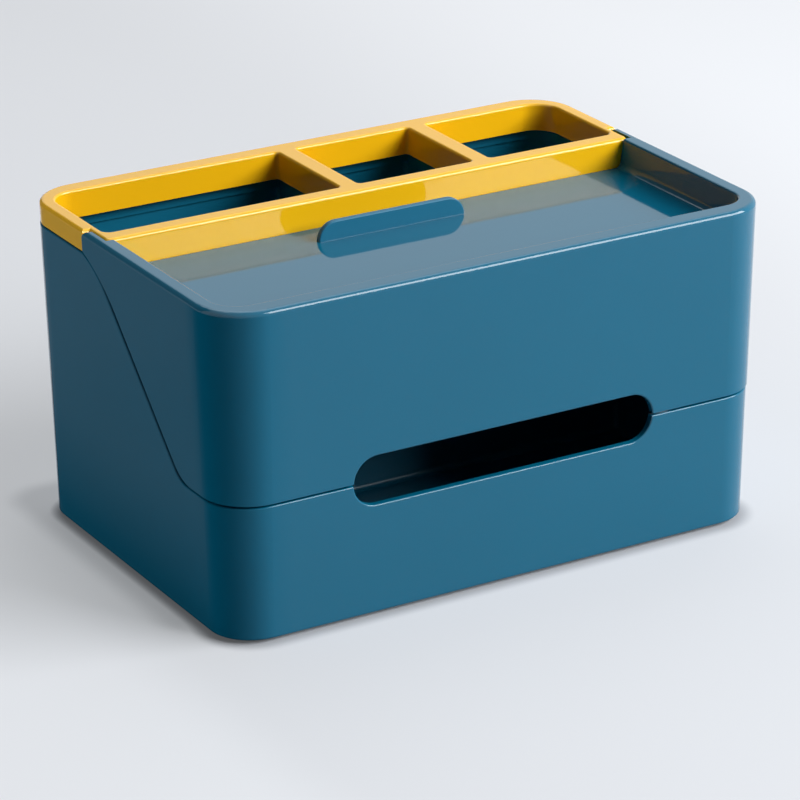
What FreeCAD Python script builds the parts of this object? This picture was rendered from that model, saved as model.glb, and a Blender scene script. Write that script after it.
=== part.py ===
import FreeCAD, Part
import math
import os

from FreeCAD import Vector

# A desktop tissue box with a desk organiser along its rear. A one-piece base
# carries a snapped-on organiser frame, and a cover with S-cut sides and a
# recessed tray flips up on two arms to load the tissues.
# Millimetres. X runs along the front, Y to the rear, Z up. The origin is the
# middle of the footprint, on the surface that the box stands on.

# Overall form, measured over the cover at its top edge.
WIDTH = 220.0
DEPTH = 150.0
HEIGHT = 120.0
CORNER_RADIUS = 18.5
SIDE_DRAFT = 2.7            # each end face leans in by this from top to bottom
FACE_DRAFT = 1.9            # the same for the front and rear faces
BASE_REVEAL = 0.35          # the base lies this far inside the cover's faces
FRAME_REVEAL = 0.55         # and the organiser frame this far

# The S-shaped parting line. The base's edge and the cover's are curves of their
# own, close together at both ends, and the gap opens out along the slope.
S_SLOPE = 46.2              # steepest angle of both curves, degrees
BASE_EDGE_Z = 50.1          # top of the base's low front wall
BASE_AHEAD = 22.8           # middle of the base's slope, ahead of the organiser
BASE_LOW_RADIUS = 12.0
BASE_HIGH_RADIUS = 37.5
BASE_CREST_RISE = 1.6       # where its upper bend would level out, over the shoulder
COVER_EDGE_GAP = 0.9        # along the front, over the base's edge
COVER_AHEAD = 26.0
COVER_LOW_RADIUS = 15.5
COVER_HIGH_RADIUS = 62.0
COVER_CREST_RISE = 4.8
FRAME_FACE = 7.7            # height of the organiser frame's outer face
FRAME_GAP = 0.5             # between the base and the organiser frame

# Base moulding.
BASE_WALL = 2.4
FLOOR = 2.6
PARTITION = 2.0             # the wall between the tissue bay and the wells
DIVIDER = 2.0               # the two walls between the wells
POCKET_CORNER_RADIUS = 2.0  # upright inside corners of the bay and the wells
POCKET_FLOOR_RADIUS = 2.5
BOTTOM_EDGE_RADIUS = 1.0
SEAM_EDGE_RADIUS = 0.6      # outer edges along the S and round the slot
TONGUE = 1.3                # upstand inside the organiser frame's channel
TONGUE_ROOT = 7.0           # how far the upstand runs down the wall
TONGUE_SLACK = 0.25

# Organiser frame.
REAR_BAR = 8.0
FRONT_BAR = 7.1
SIDE_BAR = 5.8
DIVIDER_BAR = 7.6
WELL_DEPTH = 46.1           # front to back, clear through the frame
RIGHT_WELL = 52.4           # clear widths through the frame; the left takes the rest
MIDDLE_WELL = 47.1
FRAME_WALL = 1.8
FRAME_SKIN = 2.0
SKIRT_DEPTH = 10.4          # from the frame's top to the foot of its skirts
WELL_OUTER_RADIUS = 9.5     # plan radius at the two rear outer corners
WELL_FRONT_RADIUS = 3.0     # at the two front outer corners
WELL_INNER_RADIUS = 1.5     # beside the dividers
FRAME_EDGE_RADIUS = 1.5
WELL_EDGE_RADIUS = 1.0
FRAME_FRONT_RADIUS = 2.5    # plan radius of the frame's front corners
FRONT_LIP = 0.9             # the front skirt's reach below the other skirts

# Cover.
COVER_WALL = 2.3
SIDE_RIM = 6.2
FRONT_RIM = 8.0
RIM_SKIN = 2.0
RIM_INNER_WALL = 1.7
RIM_END_WALL = 1.6
RIM_EDGE_RADIUS = 1.8
RIM_INNER_RADIUS = 0.9
TRAY_DEPTH = 10.7
TRAY_PLATE = 2.0
TRAY_DRAFT = 1.4
TRAY_CORNER_RADIUS = 10.0
TRAY_FLOOR_RADIUS = 2.5
RIM_END_GAP = 0.7           # rim and organiser frame, wide enough for the swing
TRAY_END_GAP = 0.4
TRAY_RIB_COUNT = 5
TRAY_RIB = 1.2
TRAY_RIB_DEPTH = 3.5
TRAY_RIB_INSET = 14.0       # from the tray's rear edge

# Stop tab that stands on the tray.
TAB_LENGTH = 59.0
TAB_HEIGHT = 6.9
TAB_THICKNESS = 2.4
TAB_AHEAD = 12.0            # its rear face, ahead of the organiser's front face
TAB_OFFSET = -2.1           # its middle, from the middle of the box
TAB_EDGE_RADIUS = 0.5

# Tissue slot, centred on the parting line.
SLOT_LENGTH = 120.0
SLOT_HEIGHT = 18.2

# Hinge: an arm at each side of the cover, with a stub that turns in the frame.
ARM_THICKNESS = 2.9
ARM_ROOT = 18.0             # the arm's overlap inside the rim
ARM_SIDE_GAP = 0.4
ARM_TIP_GAP = 0.5
ARM_TIP_RADIUS = 2.7
ARM_HEEL_RADIUS = 5.7       # about the pivot, under the arm's tip
HINGE_BACK = 10.0           # pivot, behind the organiser's front face
PIN_RADIUS = 1.5
PIN_LENGTH = 2.2
PIN_CLEARANCE = 0.06
PIN_END_GAP = 0.3

# Foot pads.
PAD_RADIUS = 6.0
PAD_THICKNESS = 2.0
PAD_STANDING = 1.2          # how far the pads stand out of the base
PAD_SIDE_SLACK = 0.2
PAD_INSET_X = 25.0          # pad centres, from the top edge's faces
PAD_INSET_Y = 22.0
PAD_EDGE_CHAMFER = 0.4

# Worked out from the sizes above.
SHOULDER_Z = HEIGHT - FRAME_FACE - FRAME_GAP
FRAME_FRONT_Y = DEPTH / 2 - FRAME_REVEAL - REAR_BAR - WELL_DEPTH - FRONT_BAR
WELL_FRONT_Y = FRAME_FRONT_Y + FRONT_BAR
WELL_REAR_Y = WELL_FRONT_Y + WELL_DEPTH
WELL_SIDE_X = WIDTH / 2 - FRAME_REVEAL - SIDE_BAR
RIGHT_BAR_X = WELL_SIDE_X - RIGHT_WELL - DIVIDER_BAR / 2
LEFT_BAR_X = RIGHT_BAR_X - MIDDLE_WELL - DIVIDER_BAR
PARTITION_Y = FRAME_FRONT_Y + FRONT_BAR / 2
WALL_TOP_Z = HEIGHT - FRAME_SKIN
SKIRT_Z = HEIGHT - SKIRT_DEPTH
FLOOR_Z = PAD_STANDING + FLOOR
ARM_INNER_X = WIDTH / 2 - ARM_THICKNESS
NOTCH_X = ARM_INNER_X - ARM_SIDE_GAP
HINGE_Y = FRAME_FRONT_Y + HINGE_BACK
HINGE_Z = HEIGHT - ARM_TIP_RADIUS
ARM_TIP_Y = HINGE_Y + ARM_TIP_RADIUS
NOTCH_Y = ARM_TIP_Y + ARM_TIP_GAP
RIM_END_Y = FRAME_FRONT_Y - RIM_END_GAP
TRAY_END_Y = FRAME_FRONT_Y - TRAY_END_GAP
TRAY_Z = HEIGHT - TRAY_DEPTH
TRAY_UNDER_Z = TRAY_Z - TRAY_PLATE
COVER_EDGE_Z = BASE_EDGE_Z + COVER_EDGE_GAP
SEAM_Z = (BASE_EDGE_Z + COVER_EDGE_Z) / 2
S_MIDDLE_Z = (BASE_EDGE_Z + SHOULDER_Z) / 2
FAR = WIDTH + DEPTH + HEIGHT


def box(x_low, x_high, y_low, y_high, z_low, z_high):
    size = (x_high - x_low, y_high - y_low, z_high - z_low)
    return Part.makeBox(*size, Vector(x_low, y_low, z_low))


def mirrored(shape):
    """The same shape on the other side of the middle plane."""
    return shape.mirror(Vector(0, 0, 0), Vector(1, 0, 0))


def rounded_rectangle(x_low, x_high, y_low, y_high, radii, z):
    """A closed wire; radii are front left, front right, rear right, rear left."""
    corners = [
        (x_low, y_low, 1, 1, 180),
        (x_high, y_low, -1, 1, 270),
        (x_high, y_high, -1, -1, 0),
        (x_low, y_high, 1, -1, 90),
    ]
    arcs = []
    for (x, y, to_x, to_y, start), radius in zip(corners, radii):
        centre = Vector(x + to_x * radius, y + to_y * radius, z)
        points = []
        for turn in (0, 45, 90):
            angle = math.radians(start + turn)
            reach = Vector(math.cos(angle), math.sin(angle), 0) * radius
            points.append(centre + reach)
        arcs.append(points)
    edges = []
    for index, points in enumerate(arcs):
        following = arcs[(index + 1) % 4]
        edges.append(Part.Arc(*points).toShape())
        edges.append(Part.LineSegment(points[2], following[0]).toShape())
    return Part.Wire(edges)


def outline(inset, z):
    """The drafted plan outline at a height, drawn in by a wall or a reveal."""
    fall = 1 - z / HEIGHT
    half_x = WIDTH / 2 - SIDE_DRAFT * fall - inset
    half_y = DEPTH / 2 - FACE_DRAFT * fall - inset
    radius = CORNER_RADIUS - (SIDE_DRAFT + FACE_DRAFT) / 2 * fall - inset
    return rounded_rectangle(-half_x, half_x, -half_y, half_y, [radius] * 4, z)


def block_between(low_outline, high_outline):
    """A solid between two outlines, with true planes for its flat sides."""
    loft = Part.makeLoft([low_outline, high_outline], True, True)
    faces = []
    for face in loft.Faces:
        if not any(isinstance(edge.Curve, Part.Circle) for edge in face.Edges):
            corners = [vertex.Point for vertex in face.OuterWire.OrderedVertexes]
            face = Part.Face(Part.makePolygon(corners + corners[:1]))
        faces.append(face)
    return Part.Solid(Part.Shell(faces))


def drafted_block(inset, z_low, z_high):
    return block_between(outline(inset, z_low), outline(inset, z_high))


def edges_at_height(shape, z, keep=None):
    """The edges of a shape that lie flat at one height."""
    found = []
    for edge in shape.Edges:
        limits = edge.BoundBox
        if abs(limits.ZMin - z) < 0.01 and abs(limits.ZMax - z) < 0.01:
            if keep is None or keep(limits):
                found.append(edge)
    return found


def upright_edges(shape, keep):
    """The edges that run up or down the whole of a shape."""
    span = shape.BoundBox.ZLength
    return [edge for edge in shape.Edges
            if edge.BoundBox.ZLength > 0.9 * span and keep(edge.BoundBox.Center)]


def below_an_s(low_z, high_z, ahead, low_radius, high_radius):
    """Everything under an S-shaped line that runs from front to rear."""
    slope = math.radians(S_SLOPE)
    along = Vector(0, math.cos(slope), math.sin(slope))
    middle_y = FRAME_FRONT_Y - ahead
    low_knee = Vector(0, middle_y - (S_MIDDLE_Z - low_z) / math.tan(slope), low_z)
    high_knee = Vector(0, middle_y + (high_z - S_MIDDLE_Z) / math.tan(slope), high_z)
    low_reach = low_radius * math.tan(slope / 2)
    high_reach = high_radius * math.tan(slope / 2)
    low_start = low_knee - Vector(0, low_reach, 0)
    low_end = low_knee + along * low_reach
    high_start = high_knee - along * high_reach
    high_end = high_knee + Vector(0, high_reach, 0)
    chord = Vector(0, math.sin(slope / 2), 1 - math.cos(slope / 2))
    low_mid = low_start + chord * low_radius
    high_mid = high_end - chord * high_radius
    corners = [
        Vector(0, FAR, high_z),
        Vector(0, FAR, -FAR),
        Vector(0, -FAR, -FAR),
        Vector(0, -FAR, low_z),
    ]
    edges = [
        Part.LineSegment(corners[3], low_start).toShape(),
        Part.Arc(low_start, low_mid, low_end).toShape(),
        Part.LineSegment(low_end, high_start).toShape(),
        Part.Arc(high_start, high_mid, high_end).toShape(),
        Part.LineSegment(high_end, corners[0]).toShape(),
        Part.LineSegment(corners[0], corners[1]).toShape(),
        Part.LineSegment(corners[1], corners[2]).toShape(),
        Part.LineSegment(corners[2], corners[3]).toShape(),
    ]
    region = Part.Face(Part.Wire(edges)).extrude(Vector(2 * FAR, 0, 0))
    region.translate(Vector(-FAR, 0, 0))
    return region


def below_the_base_edge():
    """Where the base may be: under its own S and under the organiser's shoulder."""
    crest_z = SHOULDER_Z + BASE_CREST_RISE
    below = below_an_s(BASE_EDGE_Z, crest_z, BASE_AHEAD, BASE_LOW_RADIUS, BASE_HIGH_RADIUS)
    return below.common(box(-FAR, FAR, -FAR, FAR, -FAR, SHOULDER_Z))


def below_the_cover_edge():
    """Where the cover may not be."""
    crest_z = SHOULDER_Z + COVER_CREST_RISE
    return below_an_s(COVER_EDGE_Z, crest_z, COVER_AHEAD, COVER_LOW_RADIUS, COVER_HIGH_RADIUS)


def slot_cutter():
    """The stadium-shaped prism of the tissue slot, through the front walls."""
    radius = SLOT_HEIGHT / 2
    straight = SLOT_LENGTH / 2 - radius
    y_low = -DEPTH / 2 - BASE_WALL
    y_high = -DEPTH / 2 + FACE_DRAFT + 2 * BASE_WALL + COVER_WALL
    cutter = box(-straight, straight, y_low, y_high, SEAM_Z - radius, SEAM_Z + radius)
    for x in (-straight, straight):
        end = Part.makeCylinder(radius, y_high - y_low, Vector(x, y_low, SEAM_Z), Vector(0, 1, 0))
        cutter = cutter.fuse(end)
    return cutter.removeSplitter()


def cut_edges(shape, block, keep=None):
    """The edges that cuts have left on the skin of the block they were made in."""
    own_edges = Part.Compound(block.Edges)
    skin = Part.Compound(block.Faces)
    found = []
    for edge in shape.Edges:
        middle = edge.valueAt((edge.FirstParameter + edge.LastParameter) / 2)
        point = Part.Vertex(middle)
        on_skin = point.distToShape(skin)[0] < 0.001
        on_own_edge = point.distToShape(own_edges)[0] < 0.001
        if on_skin and not on_own_edge and (keep is None or keep(middle)):
            found.append(edge)
    return found


def well_spans():
    """The clear X span of each well through the organiser frame, left to right."""
    half_bar = DIVIDER_BAR / 2
    return [
        (-WELL_SIDE_X, LEFT_BAR_X - half_bar),
        (LEFT_BAR_X + half_bar, RIGHT_BAR_X - half_bar),
        (RIGHT_BAR_X + half_bar, WELL_SIDE_X),
    ]


def well_openings(grow, z_low, z_high):
    """The wells' openings in the organiser frame, made larger by a wall."""
    spans = well_spans()
    openings = []
    for index, (x_low, x_high) in enumerate(spans):
        front = [WELL_INNER_RADIUS, WELL_INNER_RADIUS]
        rear = [WELL_INNER_RADIUS, WELL_INNER_RADIUS]
        if index == 0:
            front[0] = WELL_FRONT_RADIUS
            rear[1] = WELL_OUTER_RADIUS
        if index == len(spans) - 1:
            front[1] = WELL_FRONT_RADIUS
            rear[0] = WELL_OUTER_RADIUS
        radii = [radius + grow for radius in front + rear]
        limits = (x_low - grow, x_high + grow, WELL_FRONT_Y - grow, WELL_REAR_Y + grow)
        plan = Part.Face(rounded_rectangle(*limits, radii, z_low))
        openings.append(plan.extrude(Vector(0, 0, z_high - z_low)))
    return openings


def base_pockets():
    """The tissue bay and the three wells, with rounded corners and floors."""
    inset = BASE_REVEAL + BASE_WALL
    top = HEIGHT + 10
    hollow = drafted_block(inset, FLOOR_Z, top)
    bay_rear = PARTITION_Y - PARTITION / 2
    wells_front = PARTITION_Y + PARTITION / 2
    wall_xs = [-FAR, LEFT_BAR_X, RIGHT_BAR_X, FAR]
    pockets = [hollow.common(box(-FAR, FAR, -FAR, bay_rear, 0, 2 * top))]
    for left, right in zip(wall_xs, wall_xs[1:]):
        span = box(left + DIVIDER / 2, right - DIVIDER / 2, wells_front, FAR, 0, 2 * top)
        pockets.append(hollow.common(span))
    rounded = []
    for pocket in pockets:
        sharp = upright_edges(pocket, near_an_inner_wall)
        pocket = pocket.makeFillet(POCKET_CORNER_RADIUS, sharp)
        rounded.append(pocket.makeFillet(POCKET_FLOOR_RADIUS, edges_at_height(pocket, FLOOR_Z)))
    return rounded


def near_an_inner_wall(point):
    """Whether an upright edge lies where an inner wall meets another wall."""
    at_partition = abs(point.y - PARTITION_Y) < PARTITION
    at_divider = min(abs(point.x - LEFT_BAR_X), abs(point.x - RIGHT_BAR_X)) < DIVIDER
    return at_partition or at_divider


def inner_wall_tops():
    """The upper ends of the inner walls, which stand in the frame's channels."""
    low = SKIRT_Z - TONGUE_ROOT
    half_span = NOTCH_X - FRAME_WALL - TONGUE_SLACK
    y_low = PARTITION_Y - PARTITION / 2
    tops = [box(-half_span, half_span, y_low, y_low + PARTITION, low, WALL_TOP_Z)]
    y_rear = DEPTH / 2 - FRAME_REVEAL - FRAME_WALL - TONGUE_SLACK - TONGUE / 2
    for x in (LEFT_BAR_X, RIGHT_BAR_X):
        tops.append(box(x - DIVIDER / 2, x + DIVIDER / 2, PARTITION_Y, y_rear, low, WALL_TOP_Z))
    return tops


def tongue():
    """The upstand round the rear wells, inside the organiser frame's channel."""
    inset = FRAME_REVEAL + FRAME_WALL + TONGUE_SLACK
    low = SHOULDER_Z - TONGUE_ROOT
    ring = drafted_block(inset, low, WALL_TOP_Z).cut(drafted_block(inset + TONGUE, low, WALL_TOP_Z))
    front = NOTCH_Y + FRAME_WALL + TONGUE_SLACK
    return ring.common(box(-FAR, FAR, front, FAR, 0, HEIGHT))


def pad_centres():
    x = WIDTH / 2 - PAD_INSET_X
    y = DEPTH / 2 - PAD_INSET_Y
    return {
        "foot_pad_front_left": (-x, -y),
        "foot_pad_front_right": (x, -y),
        "foot_pad_rear_left": (-x, y),
        "foot_pad_rear_right": (x, y),
    }


def base_body():
    outer = drafted_block(BASE_REVEAL, PAD_STANDING, HEIGHT)
    outer = outer.makeFillet(BOTTOM_EDGE_RADIUS, edges_at_height(outer, PAD_STANDING))
    shell = outer.common(below_the_base_edge()).cut(slot_cutter())
    shell = shell.makeFillet(SEAM_EDGE_RADIUS, cut_edges(shell, outer))
    for pocket in base_pockets():
        shell = shell.cut(pocket)
    inner_top = SKIRT_Z - TONGUE_ROOT / 2
    shell = shell.cut(drafted_block(BASE_REVEAL + BASE_WALL, inner_top, HEIGHT + 1))
    for piece in inner_wall_tops() + [tongue()]:
        shell = shell.fuse(piece)
    pocket_depth = PAD_THICKNESS - PAD_STANDING
    for x, y in pad_centres().values():
        recess = Part.makeCylinder(
            PAD_RADIUS + PAD_SIDE_SLACK, pocket_depth, Vector(x, y, PAD_STANDING))
        shell = shell.cut(recess)
    return shell.removeSplitter()


def frame_plan(inset, z_low, z_high):
    """The organiser frame's outer form, notched at the front for the arms."""
    form = drafted_block(FRAME_REVEAL + inset, z_low, z_high)
    form = form.common(box(-FAR, FAR, FRAME_FRONT_Y + inset, FAR, z_low - 1, z_high + 1))
    notch = box(NOTCH_X - inset, FAR, -FAR, NOTCH_Y + inset, z_low - 1, z_high + 1)
    form = form.cut(notch).cut(mirrored(notch))
    front = upright_edges(form, lambda point: abs(point.y - FRAME_FRONT_Y - inset) < 0.5)
    return form.makeFillet(FRAME_FRONT_RADIUS - inset, front)


def organiser_frame():
    form = frame_plan(0, SKIRT_Z, HEIGHT)
    form = form.makeFillet(FRAME_EDGE_RADIUS, edges_at_height(form, HEIGHT))
    for opening in well_openings(0, SKIRT_Z - 1, HEIGHT + 1):
        form = form.cut(opening)
    well_edges = edges_at_height(form, HEIGHT, in_a_well)
    form = form.makeFillet(WELL_EDGE_RADIUS, well_edges)
    channel = frame_plan(FRAME_WALL, SKIRT_Z - 1, HEIGHT - FRAME_SKIN)
    for skirt in well_openings(FRAME_WALL, SKIRT_Z - 2, HEIGHT):
        channel = channel.cut(skirt)
    form = form.cut(channel)
    lip = frame_plan(0, SKIRT_Z - FRONT_LIP, SKIRT_Z + FRONT_LIP)
    form = form.fuse(lip.common(box(-FAR, FAR, 0, FRAME_FRONT_Y + FRAME_WALL, 0, HEIGHT)))
    step_z = HEIGHT - FRAME_FACE
    inside = drafted_block(FRAME_REVEAL + FRAME_WALL, SKIRT_Z - 2, step_z + 1)
    outside = box(-FAR, FAR, NOTCH_Y, FAR, SKIRT_Z - 1, step_z).cut(inside)
    form = form.cut(outside)
    bore_depth = PIN_LENGTH - ARM_SIDE_GAP + PIN_END_GAP
    bore = Part.makeCylinder(
        PIN_RADIUS + PIN_CLEARANCE, bore_depth + 1,
        Vector(NOTCH_X + 1, HINGE_Y, HINGE_Z), Vector(-1, 0, 0))
    return form.cut(bore).cut(mirrored(bore)).removeSplitter()


def in_a_well(limits):
    """Whether an edge borders one of the wells' openings."""
    return (limits.YMin > WELL_FRONT_Y - 0.01 and limits.YMax < WELL_REAR_Y + 0.01
            and limits.XMin > -WELL_SIDE_X - 0.01 and limits.XMax < WELL_SIDE_X + 0.01)


def tray_recess(grow, z_low, z_high):
    """The tray's hollow, open to the rear, made larger by a wall."""
    sections = []
    for z in (z_low, z_high):
        lean = TRAY_DRAFT * (HEIGHT - z) / TRAY_DEPTH
        half_x = WIDTH / 2 - SIDE_RIM - lean + grow
        front = -DEPTH / 2 + FRONT_RIM + lean - grow
        radius = TRAY_CORNER_RADIUS - lean + grow
        sections.append(
            rounded_rectangle(-half_x, half_x, front, DEPTH / 2, [radius] * 4, z))
    return block_between(*sections)


def stop_tab():
    """The upright half-stadium that stands on the tray."""
    half = TAB_LENGTH / 2
    rear = FRAME_FRONT_Y - TAB_AHEAD
    sunk = TRAY_Z - TRAY_PLATE / 2
    tab = box(-half, half, rear - TAB_THICKNESS, rear, sunk, TRAY_Z + TAB_HEIGHT)
    corners = [edge for edge in tab.Edges
               if edge.BoundBox.YLength > 0.9 * TAB_THICKNESS
               and edge.BoundBox.Center.z > TRAY_Z]
    tab = tab.makeFillet(TAB_HEIGHT - 0.01, corners)
    rim = [edge for edge in tab.Edges
           if edge.BoundBox.YLength < 0.01 and edge.BoundBox.ZMax > TRAY_Z + 0.1]
    tab = tab.makeFillet(TAB_EDGE_RADIUS, rim)
    tab.translate(Vector(TAB_OFFSET, 0, 0))
    return tab


def hinge_arms(blank):
    """The arms: flat tails of the blank's two side walls, each with its stub."""
    tails = blank.common(box(-FAR, FAR, RIM_END_Y - ARM_ROOT, ARM_TIP_Y, 0, HEIGHT))
    tails = tails.cut(box(-ARM_INNER_X, ARM_INNER_X, -FAR, FAR, 0, FAR))
    centre = Vector(-FAR, HINGE_Y, HINGE_Z)
    ahead = box(-FAR, FAR, -FAR, HINGE_Y, 0, FAR)
    heel = Part.makeCylinder(ARM_HEEL_RADIUS, 2 * FAR, centre, Vector(1, 0, 0))
    corner = box(-FAR, FAR, HINGE_Y, FAR, HINGE_Z, FAR)
    tip = Part.makeCylinder(ARM_TIP_RADIUS, 2 * FAR, centre, Vector(1, 0, 0))
    tails = tails.common(ahead.fuse(heel)).cut(corner.cut(tip))
    tails = tails.cut(below_the_cover_edge())
    root = ARM_INNER_X + ARM_THICKNESS / 2
    stub = Part.makeCylinder(
        PIN_RADIUS, PIN_LENGTH + ARM_THICKNESS / 2,
        Vector(root, HINGE_Y, HINGE_Z), Vector(-1, 0, 0))
    return tails.fuse(stub).fuse(mirrored(stub))


def tray_ribs():
    """Front-to-back ribs under the tray, evenly spread."""
    ribs = []
    pitch = WIDTH / (TRAY_RIB_COUNT + 1)
    low = TRAY_UNDER_Z - TRAY_RIB_DEPTH
    front = -DEPTH / 2 + COVER_WALL
    for index in range(TRAY_RIB_COUNT):
        x = -WIDTH / 2 + pitch * (index + 1)
        ribs.append(box(x - TRAY_RIB / 2, x + TRAY_RIB / 2, front, TRAY_END_Y - TRAY_RIB_INSET,
                        low, TRAY_UNDER_Z + TRAY_PLATE / 2))
    return ribs


def cover():
    outer = drafted_block(0, BASE_EDGE_Z - SLOT_HEIGHT, HEIGHT)
    outer = outer.makeFillet(RIM_EDGE_RADIUS, edges_at_height(outer, HEIGHT))
    form = outer.common(box(-FAR, FAR, -FAR, TRAY_END_Y, 0, FAR))
    form = form.cut(below_the_cover_edge()).cut(slot_cutter())
    slot_edges = cut_edges(form, outer, at_the_slot)
    slot_edges += [edge for edge in form.Edges if at_a_slot_corner(edge.BoundBox)]
    form = form.makeFillet(SEAM_EDGE_RADIUS, slot_edges)
    form = form.cut(box(-FAR, FAR, RIM_END_Y, TRAY_END_Y + 1, TRAY_Z, FAR))
    inside = drafted_block(COVER_WALL, 0, TRAY_UNDER_Z)
    form = form.cut(inside)
    channel = drafted_block(COVER_WALL, TRAY_UNDER_Z - 1, HEIGHT - RIM_SKIN)
    channel = channel.common(box(-FAR, FAR, -FAR, RIM_END_Y - RIM_END_WALL, 0, FAR))
    channel = channel.cut(tray_recess(RIM_INNER_WALL, TRAY_UNDER_Z - 2, HEIGHT))
    form = form.cut(channel)
    recess = tray_recess(0, TRAY_Z, HEIGHT)
    form = form.cut(recess.makeFillet(TRAY_FLOOR_RADIUS, edges_at_height(recess, TRAY_Z)))
    form = form.makeFillet(RIM_INNER_RADIUS, edges_at_height(form, HEIGHT, round_the_tray))
    for piece in tray_ribs() + [stop_tab(), hinge_arms(outer)]:
        form = form.fuse(piece)
    return form.removeSplitter()


def at_the_slot(point):
    """Whether a point of the cover's front lies on the slot's edge."""
    above_seam = point.z > COVER_EDGE_Z + 0.01
    return above_seam and point.z < SEAM_Z + SLOT_HEIGHT and abs(point.x) < SLOT_LENGTH / 2


def at_a_slot_corner(limits):
    """Whether an edge of the cover runs in from where the slot meets its seam."""
    level = abs(limits.ZMin - COVER_EDGE_Z) < 0.01 and abs(limits.ZMax - COVER_EDGE_Z) < 0.01
    through = limits.XLength < 0.01 and limits.YMax < -DEPTH / 2 + FACE_DRAFT + 4 * COVER_WALL
    return level and through and abs(limits.Center.x) < SLOT_LENGTH / 2 + 1


def round_the_tray(limits):
    """Whether a top edge borders the tray's hollow."""
    half_x = WIDTH / 2 - SIDE_RIM
    front = -DEPTH / 2 + FRONT_RIM
    ends = limits.YLength < 0.01 and limits.YMin > front + 1
    inside = limits.XMin > -half_x - 0.01 and limits.XMax < half_x + 0.01
    return inside and limits.YMin > front - 0.01 and not ends


def foot_pad(x, y):
    pad = Part.makeCylinder(PAD_RADIUS, PAD_THICKNESS, Vector(x, y, 0))
    return pad.makeChamfer(PAD_EDGE_CHAMFER, edges_at_height(pad, 0))


def export(name, shape):
    shape.exportStep(f"parts/{name}.step")


def main():
    os.makedirs("parts", exist_ok=True)
    export("base_body", base_body())
    export("organiser_frame", organiser_frame())
    export("flip_cover", cover())
    for name, (x, y) in pad_centres().items():
        export(name, foot_pad(x, y))


main()
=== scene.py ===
import math

import bmesh
import bpy
from mathutils import Matrix, Vector


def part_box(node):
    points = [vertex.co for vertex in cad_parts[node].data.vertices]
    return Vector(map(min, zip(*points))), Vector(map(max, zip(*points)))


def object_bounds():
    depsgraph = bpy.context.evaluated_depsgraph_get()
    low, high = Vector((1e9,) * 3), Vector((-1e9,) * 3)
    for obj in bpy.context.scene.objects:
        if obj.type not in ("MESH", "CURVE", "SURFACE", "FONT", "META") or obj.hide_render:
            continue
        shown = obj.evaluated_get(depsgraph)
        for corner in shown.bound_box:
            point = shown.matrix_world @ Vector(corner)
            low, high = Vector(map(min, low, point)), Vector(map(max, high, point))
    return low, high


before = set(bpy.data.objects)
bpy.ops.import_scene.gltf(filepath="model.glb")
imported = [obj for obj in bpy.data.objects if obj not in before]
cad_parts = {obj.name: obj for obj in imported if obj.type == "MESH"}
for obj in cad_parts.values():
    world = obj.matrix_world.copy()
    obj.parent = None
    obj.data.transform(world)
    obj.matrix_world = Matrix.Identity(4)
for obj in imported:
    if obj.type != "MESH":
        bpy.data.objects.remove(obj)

bl_info = {
    "name": "Tissue Box",
    "version": (1, 0, 0),
    "blender": (4, 5, 0),
    "location": "View3D > Sidebar > Tissue Box",
    "description": "Moulded finishes, studio and camera for a tissue box with a flip-up cover",
    "category": "Object",
}

CAD_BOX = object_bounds()
BASE_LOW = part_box("base_body")[0]
COVER_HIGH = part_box("flip_cover")[1]
FRAME_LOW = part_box("organiser_frame")[0]
PADS = sorted(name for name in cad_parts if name.startswith("foot_pad"))

# The mouldings, in metres. Their plan outline is largest at the top.
TOP_Z = CAD_BOX[1].z
HALF_WIDTH = CAD_BOX[1].x
HALF_DEPTH = -CAD_BOX[0].y
CORNER_RADIUS = 0.0185
SIDE_DRAFT = 0.0027            # each end face leans in by this from top to bottom
FACE_DRAFT = 0.0019            # the same for the front and rear faces
MEAN_DRAFT = (SIDE_DRAFT + FACE_DRAFT) / 2
BASE_REVEAL = 0.00035          # the base lies this far inside the cover's faces
WALL = 0.0024                  # thickness
TRAY_DEPTH = 0.0107            # from the cover's top to the tray's face
TRAY_Z = COVER_HIGH.z - TRAY_DEPTH
TRAY_PLATE = 0.002             # thickness

# The stop tab on the tray, in metres.
TAB_LENGTH = 0.059
TAB_THICKNESS = 0.0024
TAB_OFFSET = -0.0021           # its middle, from the middle of the box
TAB_AHEAD = 0.012              # its rear face, ahead of the organiser frame
TAB_MIDDLE_Y = FRAME_LOW.y - TAB_AHEAD - TAB_THICKNESS / 2

# Each fade is a pair of bounds. A mask is 0 before the first and 1 past the second.
INNER_SIDE_FADE = (0.5 * WALL, 0.9 * WALL)
UNDER_TRAY_FADE = (TRAY_Z - 0.8 * TRAY_PLATE, TRAY_Z - 0.2 * TRAY_PLATE)
TAB_END_FADE = (TAB_LENGTH / 2, TAB_LENGTH / 2 + 0.001)
TAB_FACE_FADE = (0.6 * TAB_THICKNESS, 0.8 * TAB_THICKNESS)
TAB_FOOT_FADE = (TRAY_Z + 0.00005, TRAY_Z + 0.0003)

# Plastic. A noise's scale is in cells for each metre.
FLOW_SCALE = 14.0              # the slow mottling of the colour
FLOW_TINT = 0.05               # how far it takes the colour either way
HANDLING_SCALE = 55.0
HANDLING_ROUGHNESS = 0.06      # what wear adds to the roughness at most
MATT_ROUGHNESS = 0.3           # what an unpolished inner side adds
SATIN_ROUGHNESS = 0.42         # what a satin stretch adds
PEEL_SCALE = 190.0
PEEL_STRENGTH = 0.35
GRAIN_SCALE = 1400.0
GRAIN_SHARE = 0.06             # the fine grain's height, as a part of the peel's
PLASTIC_IOR = 1.44

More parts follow.
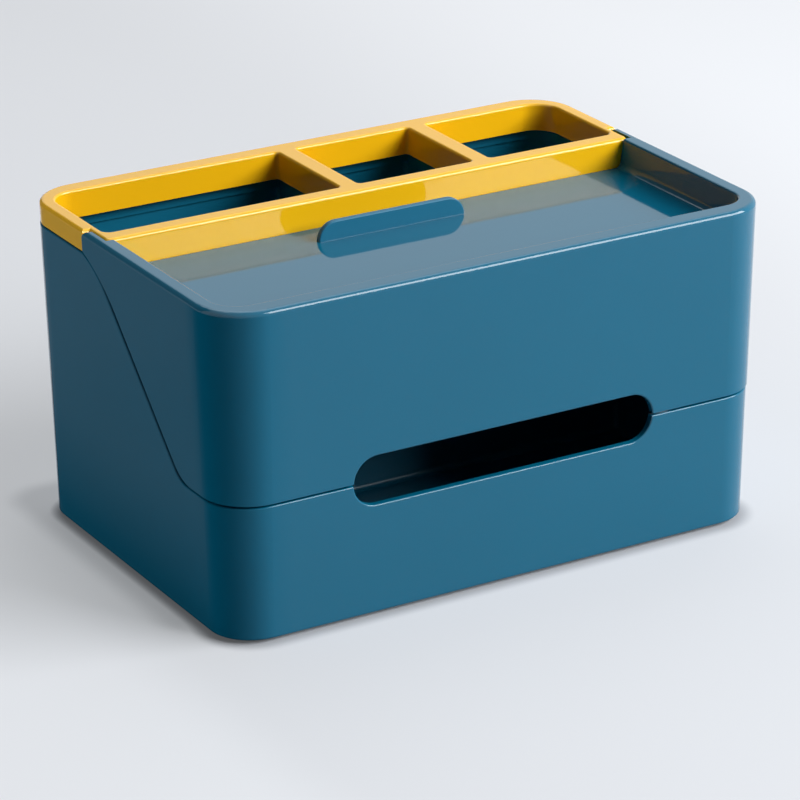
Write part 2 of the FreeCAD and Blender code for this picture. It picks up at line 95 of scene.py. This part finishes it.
# Rubber.
RUBBER_GRAIN_SCALE = 1800.0
RUBBER_GRAIN_STRENGTH = 0.4
RUBBER_GRAIN_HEIGHT = 0.0001
RUBBER_BLOOM_SCALE = 300.0
RUBBER_TINTS = (0.85, 1.25)
RUBBER_ROUGHNESS = 0.7
RUBBER_BLOOM_ROUGHNESS = 0.15
RUBBER_IOR = 1.5

# Floor and surroundings. A tone is light that the floor shows but doesn't cast.
PALE_SURROUND = (0.96, 0.98, 1.0, 1.0)
AMBIENT_COLOUR = (0.93, 0.96, 1.0, 1.0)
BLACK = (0.0, 0.0, 0.0, 1.0)
PAPER_ROUGHNESS = 0.9
# Painted shadow: the next five set where the floor's glow fades out at the box's foot and in a
# soft patch to its left and back.
CONTACT_FADE = (-0.006, 0.0005)     # depths inside the plan outline
PAINTED_CONTACT_SHADE = 0.8
SOFT_SHIFT = (0.012, -0.018, 0.0)   # from a point of the floor to where its shadow is read
SOFT_FADE = (-0.003, 0.008)         # the same, for the shifted outline
PAINTED_SOFT_SHADE = 0.3
FAR_FADE = (0.13, 0.6)              # distances from the middle of the box
FAR_TONE = 0.03
RIGHT_FADE = (0.16, 0.42)           # distances to the right of the middle
RIGHT_TONE = 0.12
LEFT_FADE = (0.115, 0.15)           # and to the left
LEFT_TONE = 0.05

# Side flag: a black card round the front left corner and along the left side. Only reflections
# show it, so it is a painted dark reflection.
PAINTED_REFLECTION_BLACK = (0.003, 0.003, 0.003, 1.0)
FLAG_STANDOFF = 0.002          # from the outline at the corner
FLAG_SKIRT = 0.0045            # its foot's reach in under the corner
FLAG_FOOT_Z = 0.0005
FLAG_TOP_Z = 0.118
FLAG_START = math.radians(20)  # from straight ahead, towards the right
FLAG_SWEEP = math.radians(110)
FLAG_STEPS = 22
FLAG_RUN = 0.25                # along the left side, past the corner
FLAG_EDGE_FADE = (0.080, 0.112)     # distances to the left of the middle
FLAG_ALONG_FADE = (-0.06, -0.045)   # where it gets thinner, going back
FLAG_UP_FADE = (-0.02, 0.05)        # and going up
FLAG_THINNING = 0.28

# Rear flag: a large card behind the box on its left. Only reflections show it, so it is a painted
# dark reflection.
REAR_FLAG_HALF = 1.0           # half its width and height
REAR_FLAG_SIDE = (-0.45, 0.89, 0.0)
REAR_FLAG_DISTANCE = 1.3
REAR_FLAG_SHIFT = (-0.15, 0.0, 1.0)
REAR_FLAG_COVER = 0.85         # 0 would be clear, and 1 solid

# Camera, as solved for an 800 x 800 frame. Metres and radians.
CAMERA_PLACE = Vector((-0.63976, -1.09890, 0.56006))
CAMERA_YAW = 0.527846
CAMERA_PITCH = 0.386056
CAMERA_ROLL = -0.007826
FOCAL_PIXELS = 3830.4
FRAME_PIXELS = 800
SENSOR = 36.0                  # width of the sensor, in millimetres
NEAREST = 0.05                 # the camera shows nothing closer than this


# ---------------------------------------------------------------- shader maths

class Value:
    """An output socket. Arithmetic on it adds the Math nodes."""

    def __init__(self, bench, socket):
        self.bench = bench
        self.socket = socket

    def _math(self, operation, first, second):
        return self.bench.add("ShaderNodeMath", {"operation": operation}, {0: first, 1: second})

    def __add__(self, other):
        return self._math("ADD", self, other)

    def __radd__(self, other):
        return self._math("ADD", other, self)

    def __sub__(self, other):
        return self._math("SUBTRACT", self, other)

    def __rsub__(self, other):
        return self._math("SUBTRACT", other, self)

    def __mul__(self, other):
        return self._math("MULTIPLY", self, other)

    def __rmul__(self, other):
        return self._math("MULTIPLY", other, self)

    def __pow__(self, other):
        return self._math("POWER", self, other)

    def size(self):
        """Its distance from 0."""
        return self._math("ABSOLUTE", self, 0.0)

    def larger(self, other):
        return self._math("MAXIMUM", self, other)

    def smooth_step(self, low, high):
        """0 below low, 1 above high, and a smooth rise between them."""
        settings = {"interpolation_type": "SMOOTHSTEP"}
        return self.bench.add("ShaderNodeMapRange", settings, {0: self, 1: low, 2: high})


class Bench:
    """Adds nodes to one tree."""

    def __init__(self, tree):
        self.tree = tree
        tree.nodes.clear()

    def add(self, kind, settings=None, inputs=None, output=0):
        """A node with its settings, then its inputs; returns one of its outputs."""
        node = self.tree.nodes.new(kind)
        for name, setting in (settings or {}).items():
            setattr(node, name, setting)
        for key, value in (inputs or {}).items():
            if isinstance(value, Value):
                self.tree.links.new(value.socket, node.inputs[key])
            else:
                node.inputs[key].default_value = value
        return Value(self, node.outputs[output]) if node.outputs else None

    def place(self):
        """Where a point lies on its piece, in metres."""
        return self.add("ShaderNodeTexCoord", output="Object")

    def axes(self, where):
        """A place's three coordinates: across, along and up."""
        split = self.add("ShaderNodeSeparateXYZ", None, {0: where})
        return [Value(self, socket) for socket in split.socket.node.outputs]

    def noise(self, where, scale, detail=2.0, roughness=0.5):
        """A cloudy pattern between 0 and 1."""
        inputs = {"Vector": where, "Scale": scale, "Detail": detail, "Roughness": roughness}
        return self.add("ShaderNodeTexNoise", None, inputs)

    def blend(self, mask, low, high):
        """A colour between two colours."""
        settings = {"data_type": "RGBA", "clamp_factor": True}
        return self.add("ShaderNodeMix", settings, {0: mask, 6: low, 7: high}, output=2)

    def surface(self, inputs):
        """The material's whole surface."""
        shader = self.add("ShaderNodeBsdfPrincipled", None, inputs)
        self.add("ShaderNodeOutputMaterial", None, {"Surface": shader})


def shade(colour, factor):
    """A colour made darker or paler, as the four parts that a socket takes."""
    return tuple(min(1.0, part * factor) for part in colour[:3]) + (1.0,)


def plan_depth(bench, where, inset=0.0):
    """How deep a point lies inside the drafted outline at its height. Negative outside it."""
    fall = (TOP_Z - bench.axes(where)[2]) * (1.0 / TOP_Z)
    core = bench.add("ShaderNodeCombineXYZ", None, {
        0: (HALF_WIDTH - CORNER_RADIUS) - fall * (SIDE_DRAFT - MEAN_DRAFT),
        1: (HALF_DEPTH - CORNER_RADIUS) - fall * (FACE_DRAFT - MEAN_DRAFT),
    })
    steps = (
        ("ABSOLUTE", (0.0, 0.0, 0.0)),
        ("SUBTRACT", core),
        ("MAXIMUM", (0.0, 0.0, 0.0)),
        ("MULTIPLY", (1.0, 1.0, 0.0)),
    )
    for operation, other in steps:
        where = bench.add("ShaderNodeVectorMath", {"operation": operation}, {0: where, 1: other})
    away = bench.add("ShaderNodeVectorMath", {"operation": "LENGTH"}, {0: where}, output=1)
    return (CORNER_RADIUS - inset) - fall * MEAN_DRAFT - away


def inner_side(bench, where, inset):
    """1 on the side of the walls that faces into the box. 0 on the skin and from the tray up."""
    below = 1.0 - bench.axes(where)[2].smooth_step(*UNDER_TRAY_FADE)
    return plan_depth(bench, where, inset).smooth_step(*INNER_SIDE_FADE) * below


def on_the_tab(bench, where):
    """1 on the stop tab."""
    across, along, up = bench.axes(where)
    beside = (across - TAB_OFFSET).size().smooth_step(*TAB_END_FADE)
    away = (along - TAB_MIDDLE_Y).size().smooth_step(*TAB_FACE_FADE)
    return up.smooth_step(*TAB_FOOT_FADE) * (1.0 - beside.larger(away))


def new_material(name):
    """An empty material and the bench for its nodes."""
    material = bpy.data.materials.new(name)
    material.use_nodes = True
    return material, Bench(material.node_tree)


def moulded_plastic(name, colour, gloss, peel, inset=None, satin=None):
    """Polished injection-moulded plastic, with flow mottling and a faint orange peel.

    Where the piece's inset from the plan outline is given, its inner side is left matt.
    Satin is a mask for a stretch that isn't polished.
    """
    material, bench = new_material(name)
    where = bench.place()
    flow = bench.noise(where, FLOW_SCALE, detail=3.0)
    tint = bench.blend(flow, shade(colour, 1.0 - FLOW_TINT), shade(colour, 1.0 + FLOW_TINT))
    handling = bench.noise(where, HANDLING_SCALE, detail=4.0, roughness=0.6)
    roughness = gloss + handling ** 3.0 * HANDLING_ROUGHNESS
    if inset is not None:
        roughness = roughness + inner_side(bench, where, inset) * MATT_ROUGHNESS
    if satin is not None:
        roughness = roughness + satin(bench, where) * SATIN_ROUGHNESS
    ripple = bench.noise(where, PEEL_SCALE, detail=1.0)
    grain = bench.noise(where, GRAIN_SCALE, detail=2.0)
    normal = bench.add("ShaderNodeBump", None, {
        "Strength": PEEL_STRENGTH, "Distance": peel, "Height": ripple + grain * GRAIN_SHARE})
    bench.surface({
        "Base Color": tint,
        "Roughness": roughness,
        "IOR": PLASTIC_IOR,
        "Normal": normal,
    })
    return material


def pad_rubber(name, colour):
    """Matt rubber with a fine grain."""
    material, bench = new_material(name)
    where = bench.place()
    grain = bench.noise(where, RUBBER_GRAIN_SCALE, detail=3.0)
    bloom = bench.noise(where, RUBBER_BLOOM_SCALE, detail=2.0)
    dark, pale = (shade(colour, tint) for tint in RUBBER_TINTS)
    normal = bench.add("ShaderNodeBump", None, {
        "Strength": RUBBER_GRAIN_STRENGTH, "Distance": RUBBER_GRAIN_HEIGHT, "Height": grain})
    bench.surface({
        "Base Color": bench.blend(bloom, dark, pale),
        "Roughness": RUBBER_ROUGHNESS + bloom * RUBBER_BLOOM_ROUGHNESS,
        "IOR": RUBBER_IOR,
        "Normal": normal,
    })
    return material


def finish_node(name, material):
    """Gives one of the solid pieces its finish."""
    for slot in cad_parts[name].material_slots:
        slot.material = material


# ------------------------------------------------------------------ properties

class TissueBoxPlastic(bpy.types.PropertyGroup):
    """Colours and gloss of the mouldings."""

    teal: bpy.props.FloatVectorProperty(
        name="Teal", description="Colour of the base and the cover", subtype="COLOR",
        size=3, min=0.0, max=1.0, default=(0.001, 0.12, 0.212))
    yellow: bpy.props.FloatVectorProperty(
        name="Yellow", description="Colour of the organiser frame", subtype="COLOR",
        size=3, min=0.0, max=1.0, default=(0.87, 0.475, 0.006))
    rubber: bpy.props.FloatVectorProperty(
        name="Rubber", description="Colour of the foot pads", subtype="COLOR",
        size=3, min=0.0, max=1.0, default=(0.03, 0.03, 0.034))
    gloss: bpy.props.FloatProperty(
        name="Roughness", description="Lowest roughness of the polished plastic", subtype="FACTOR",
        min=0.0, max=1.0, default=0.045)
    peel: bpy.props.FloatProperty(
        name="Orange Peel", description="Height of the ripple that moulding leaves",
        unit="LENGTH", precision=6, min=0.0, max=0.001, default=0.00002)


class TissueBoxStudio(bpy.types.PropertyGroup):
    """Floor and lamps."""

    floor: bpy.props.FloatVectorProperty(
        name="Floor", description="Colour of the floor", subtype="COLOR",
        size=3, min=0.0, max=1.0, default=(0.38, 0.395, 0.425))
    floor_reach: bpy.props.FloatProperty(
        name="Floor Reach", description="Half the width of the floor", unit="LENGTH",
        min=0.5, max=20.0, default=6.0)
    floor_glow: bpy.props.FloatProperty(
        name="Floor Glow", description="How much paler the floor looks away from the box",
        subtype="FACTOR", min=0.0, max=1.0, default=0.37)
    key_power: bpy.props.FloatProperty(
        name="Key Power", description="Power of the main softbox", unit="POWER",
        min=0.0, max=500.0, default=53.0)
    fill_power: bpy.props.FloatProperty(
        name="Fill Power", description="Power of the low lamp behind the left side", unit="POWER",
        min=0.0, max=500.0, default=5.4)
    top_power: bpy.props.FloatProperty(
        name="Top Power", description="Power of the softbox overhead", unit="POWER",
        min=0.0, max=500.0, default=7.5)
    ambient: bpy.props.FloatProperty(
        name="Ambient", description="Strength of the light from all round", subtype="FACTOR",
        min=0.0, max=2.0, default=0.05)


# ------------------------------------------------------------------- operators

class TISSUEBOX_OT_base_body(bpy.types.Operator):
    """Finish the base body in polished teal plastic"""

    bl_idname = "tissuebox.base_body"
    bl_label = "Base Body"

    def execute(self, context):
        plastic = context.scene.tissue_box_plastic
        material = moulded_plastic(
            "base_teal", plastic.teal, plastic.gloss, plastic.peel, BASE_REVEAL)
        finish_node("base_body", material)
        return {"FINISHED"}


class TISSUEBOX_OT_flip_cover(bpy.types.Operator):
    """Finish the flip cover in polished teal plastic"""

    bl_idname = "tissuebox.flip_cover"
    bl_label = "Flip Cover"

    def execute(self, context):
        plastic = context.scene.tissue_box_plastic
        material = moulded_plastic(
            "cover_teal", plastic.teal, plastic.gloss, plastic.peel, 0.0, on_the_tab)
        finish_node("flip_cover", material)
        return {"FINISHED"}


class TISSUEBOX_OT_organiser_frame(bpy.types.Operator):
    """Finish the organiser frame in polished yellow plastic"""

    bl_idname = "tissuebox.organiser_frame"
    bl_label = "Organiser Frame"

    def execute(self, context):
        plastic = context.scene.tissue_box_plastic
        material = moulded_plastic("frame_yellow", plastic.yellow, plastic.gloss, plastic.peel)
        finish_node("organiser_frame", material)
        return {"FINISHED"}


class TISSUEBOX_OT_foot_pads(bpy.types.Operator):
    """Finish the four foot pads in matt rubber"""

    bl_idname = "tissuebox.foot_pads"
    bl_label = "Foot Pads"

    def execute(self, context):
        material = pad_rubber("pad_rubber_matt", context.scene.tissue_box_plastic.rubber)
        for name in PADS:
            finish_node(name, material)
        return {"FINISHED"}


class TISSUEBOX_OT_studio(bpy.types.Operator):
    """Build the floor, the lamps, the surroundings and the camera"""

    bl_idname = "tissuebox.studio"
    bl_label = "Studio"

    def execute(self, context):
        studio = context.scene.tissue_box_studio
        build_floor(studio)
        build_world(context.scene, studio)
        build_lamps(studio)
        build_side_flag()
        build_rear_flag()
        build_camera(context.scene)
        context.scene.view_settings.view_transform = "Standard"
        return {"FINISHED"}


# ----------------------------------------------------------------------- stage

def build_floor(studio):
    """A pale sheet of paper under the box, with the box's shadow; its glow adds a painted shadow
    at the box's foot and a painted soft shadow to its left and back.
    """
    shape = bmesh.new()
    bmesh.ops.create_grid(shape, x_segments=1, y_segments=1, size=studio.floor_reach)
    mesh = bpy.data.meshes.new("studio_floor")
    shape.to_mesh(mesh)
    shape.free()
    floor = bpy.data.objects.new("studio_floor", mesh)
    bpy.context.scene.collection.objects.link(floor)
    material, bench = new_material("studio_paper")
    where = bench.place()
    across = bench.axes(where)[0]
    away = bench.add("ShaderNodeVectorMath", {"operation": "LENGTH"}, {0: where}, output=1)
    tone = (
        studio.floor_glow
        + away.smooth_step(*FAR_FADE) * FAR_TONE
        + across.smooth_step(*RIGHT_FADE) * RIGHT_TONE
        + (0.0 - across).smooth_step(*LEFT_FADE) * LEFT_TONE
    )
    shifted = bench.add("ShaderNodeVectorMath", {"operation": "ADD"}, {0: where, 1: SOFT_SHIFT})
    # Painted shadow in the glow: dark at the box's foot and in a soft patch to its left and back.
    painted_contact = plan_depth(bench, where).smooth_step(*CONTACT_FADE) * PAINTED_CONTACT_SHADE
    soft = plan_depth(bench, shifted).smooth_step(*SOFT_FADE) * PAINTED_SOFT_SHADE
    glow = seen_directly(bench) * tone * (1.0 - painted_contact.larger(soft))
    bench.surface({
        "Base Color": shade(studio.floor, 1.0),
        "Roughness": PAPER_ROUGHNESS,
        "Specular IOR Level": 0.0,
        "Emission Color": bench.blend(glow, BLACK, PALE_SURROUND),
        "Emission Strength": 1.0,
    })
    mesh.materials.append(material)


def seen_directly(bench):
    """1 for the camera and for what is seen in a polished or clear surface, 0 for light."""
    camera_ray = bench.add("ShaderNodeLightPath", output="Is Camera Ray")
    glossy_ray = bench.add("ShaderNodeLightPath", output="Is Glossy Ray")
    clear_ray = bench.add("ShaderNodeLightPath", output="Is Transmission Ray")
    return camera_ray.larger(glossy_ray).larger(clear_ray)


def build_world(scene, studio):
    """Soft light from all round, and a pale surround for the camera and the reflections."""
    world = bpy.data.worlds.new("studio_surround")
    world.use_nodes = True
    bench = Bench(world.node_tree)
    light = bench.add("ShaderNodeBackground", None, {
        "Color": AMBIENT_COLOUR, "Strength": studio.ambient})
    view = bench.add("ShaderNodeBackground", None, {
        "Color": PALE_SURROUND, "Strength": 1.0})
    mixed = bench.add("ShaderNodeMixShader", None, {0: seen_directly(bench), 1: light, 2: view})
    bench.add("ShaderNodeOutputWorld", None, {"Surface": mixed})
    scene.world = world


def add_softbox(name, power, azimuth, elevation, distance, width, height, reflected=True):
    """An area lamp facing the box. Azimuth is in degrees to the right of the front."""
    side = math.radians(azimuth)
    rise = math.radians(elevation)
    outward = Vector((
        math.sin(side) * math.cos(rise), -math.cos(side) * math.cos(rise), math.sin(rise)))
    centre = (CAD_BOX[0] + CAD_BOX[1]) / 2
    data = bpy.data.lights.new(name, "AREA")
    data.shape = "RECTANGLE"
    data.size = width
    data.size_y = height
    data.energy = power
    lamp = bpy.data.objects.new(name, data)
    turn = (-outward).to_track_quat("-Z", "Y").to_matrix().to_4x4()
    lamp.matrix_world = Matrix.Translation(centre + outward * distance) @ turn
    lamp.visible_camera = False
    lamp.visible_glossy = reflected
    bpy.context.scene.collection.objects.link(lamp)


def build_lamps(studio):
    """The key at the front right, a low fill behind the left side, and one overhead."""
    add_softbox(
        "key_softbox", studio.key_power, azimuth=47, elevation=31, distance=1.8,
        width=1.5, height=0.9)
    add_softbox(
        "low_fill", studio.fill_power, azimuth=-122, elevation=0.5, distance=1.3,
        width=1.0, height=0.12, reflected=False)
    add_softbox(
        "top_softbox", studio.top_power, azimuth=150, elevation=65, distance=1.5,
        width=1.2, height=1.2)


def add_flag(name, shape, hiding):
    """A black card that only reflections show. Hiding takes its bench and gives its alpha."""
    mesh = bpy.data.meshes.new(name)
    shape.to_mesh(mesh)
    shape.free()
    flag = bpy.data.objects.new(name, mesh)
    bpy.context.scene.collection.objects.link(flag)
    material, bench = new_material(name + "_painted_reflection")
    # Painted dark reflection: the card is black and only glossy rays see it.
    bench.surface({
        "Base Color": PAINTED_REFLECTION_BLACK,
        "Roughness": 1.0,
        "Specular IOR Level": 0.0,
        "Alpha": hiding(bench),
    })
    mesh.materials.append(material)
    flag.visible_camera = False
    flag.visible_diffuse = False
    flag.visible_transmission = False
    flag.visible_volume_scatter = False
    flag.visible_shadow = False


def build_side_flag():
    """Keeps the floor out of the reflections in the left side and the corner before it."""
    axis = Vector((BASE_LOW.x + CORNER_RADIUS, BASE_LOW.y + CORNER_RADIUS, 0.0))
    outward = Vector((math.sin(FLAG_START), -math.cos(FLAG_START), 0.0))
    profile = (
        (CORNER_RADIUS - FLAG_SKIRT, FLAG_FOOT_Z),
        (CORNER_RADIUS + FLAG_STANDOFF, FLAG_FOOT_Z),
        (CORNER_RADIUS + FLAG_STANDOFF, FLAG_TOP_Z),
    )
    shape = bmesh.new()
    verts = []
    for away, up in profile:
        verts.append(shape.verts.new(axis + outward * away + Vector((0.0, 0.0, up))))
    edges = [shape.edges.new(pair) for pair in zip(verts, verts[1:])]
    corner = bmesh.ops.spin(
        shape, geom=verts + edges, cent=axis, axis=(0.0, 0.0, -1.0),
        angle=FLAG_SWEEP, steps=FLAG_STEPS)
    last = [item for item in corner["geom_last"] if isinstance(item, bmesh.types.BMEdge)]
    run = bmesh.ops.extrude_edge_only(shape, edges=last)
    ends = [item for item in run["geom"] if isinstance(item, bmesh.types.BMVert)]
    bmesh.ops.translate(shape, verts=ends, vec=(0.0, FLAG_RUN, 0.0))

    def hiding(bench):
        across, along, up = bench.axes(bench.place())
        off_the_front = (0.0 - across).smooth_step(*FLAG_EDGE_FADE)
        beside = along.smooth_step(*FLAG_ALONG_FADE) * up.smooth_step(*FLAG_UP_FADE)
        return off_the_front * (1.0 - beside * FLAG_THINNING)

    add_flag("side_flag", shape, hiding)


def build_rear_flag():
    """Stands for the unlit side of the room, behind the box on its left."""
    shape = bmesh.new()
    bmesh.ops.create_grid(shape, x_segments=1, y_segments=1, size=REAR_FLAG_HALF)
    away = Vector(REAR_FLAG_SIDE).normalized()
    upright = away.to_track_quat("Z", "Y").to_matrix().to_4x4()
    centre = away * REAR_FLAG_DISTANCE + Vector(REAR_FLAG_SHIFT)
    bmesh.ops.transform(shape, matrix=Matrix.Translation(centre) @ upright, verts=shape.verts)
    add_flag("rear_flag", shape, lambda bench: REAR_FLAG_COVER)


def build_camera(scene):
    """The camera at its solved place, with the roll about its line of sight."""
    cos_yaw, sin_yaw = math.cos(CAMERA_YAW), math.sin(CAMERA_YAW)
    cos_pitch, sin_pitch = math.cos(CAMERA_PITCH), math.sin(CAMERA_PITCH)
    ahead = Vector((sin_yaw * cos_pitch, cos_yaw * cos_pitch, -sin_pitch))
    level_right = Vector((cos_yaw, -sin_yaw, 0.0))
    level_up = level_right.cross(ahead)
    cos_roll, sin_roll = math.cos(CAMERA_ROLL), math.sin(CAMERA_ROLL)
    right = cos_roll * level_right + sin_roll * level_up
    up = cos_roll * level_up - sin_roll * level_right
    turn = Matrix((right, up, -ahead)).transposed().to_4x4()
    data = bpy.data.cameras.new("studio_camera")
    data.sensor_width = SENSOR
    data.lens = SENSOR * FOCAL_PIXELS / FRAME_PIXELS
    data.clip_start = NEAREST
    camera = bpy.data.objects.new("studio_camera", data)
    camera.matrix_world = Matrix.Translation(CAMERA_PLACE) @ turn
    scene.collection.objects.link(camera)
    scene.camera = camera


# ----------------------------------------------------------------------- panel

OPERATORS = (
    TISSUEBOX_OT_base_body,
    TISSUEBOX_OT_flip_cover,
    TISSUEBOX_OT_organiser_frame,
    TISSUEBOX_OT_foot_pads,
    TISSUEBOX_OT_studio,
)


class TISSUEBOX_PT_panel(bpy.types.Panel):
    """Lists the pieces of the tissue box and the studio"""

    bl_label = "Tissue Box"
    bl_idname = "TISSUEBOX_PT_panel"
    bl_space_type = "VIEW_3D"
    bl_region_type = "UI"
    bl_category = "Tissue Box"

    def draw(self, context):
        layout = self.layout
        for group in (context.scene.tissue_box_plastic, context.scene.tissue_box_studio):
            column = layout.column()
            for name in type(group).__annotations__:
                column.prop(group, name)
        for operator in OPERATORS:
            layout.operator(operator.bl_idname)


CLASSES = (TissueBoxPlastic, TissueBoxStudio) + OPERATORS + (TISSUEBOX_PT_panel,)


def register():
    for item in CLASSES:
        bpy.utils.register_class(item)
    bpy.types.Scene.tissue_box_plastic = bpy.props.PointerProperty(type=TissueBoxPlastic)
    bpy.types.Scene.tissue_box_studio = bpy.props.PointerProperty(type=TissueBoxStudio)


def unregister():
    del bpy.types.Scene.tissue_box_studio
    del bpy.types.Scene.tissue_box_plastic
    for item in reversed(CLASSES):
        bpy.utils.unregister_class(item)


def main():
    register()
    bpy.ops.tissuebox.base_body()
    bpy.ops.tissuebox.flip_cover()
    bpy.ops.tissuebox.organiser_frame()
    bpy.ops.tissuebox.foot_pads()
    bpy.ops.tissuebox.studio()


if __name__ == "__main__":
    main()
